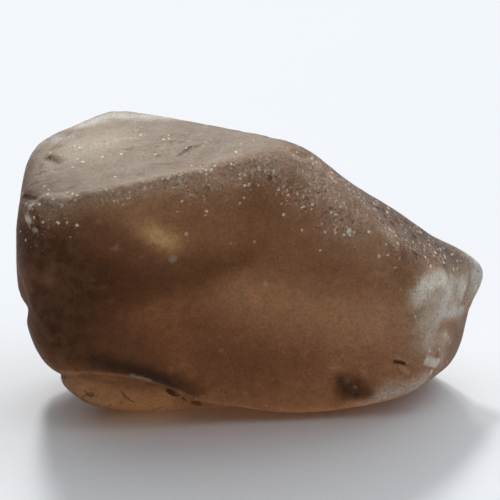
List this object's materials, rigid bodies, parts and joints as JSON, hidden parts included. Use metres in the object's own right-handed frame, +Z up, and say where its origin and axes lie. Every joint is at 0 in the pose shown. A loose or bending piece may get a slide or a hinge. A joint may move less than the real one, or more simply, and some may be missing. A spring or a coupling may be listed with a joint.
{
  "type": "zircon gemstone",
  "caption": "Rough, water-worn zircon crystal: a brown translucent pebble with worn facets, resting on its flattest side.",
  "frame": {"origin": "centre of the bounding box's underside, on the surface that the stone rests on", "axes": "+Z up, +X along the stone's length towards its narrow end, -Y out of its broad front facet"},
  "size_m": [0.014, 0.0081, 0.0088],
  "materials": {
    "zircon": "frosted, water-worn, translucent"
  },
  "bodies": {
    "root": {"zircon_pebble": "zircon"}
  },
  "joints": []
}
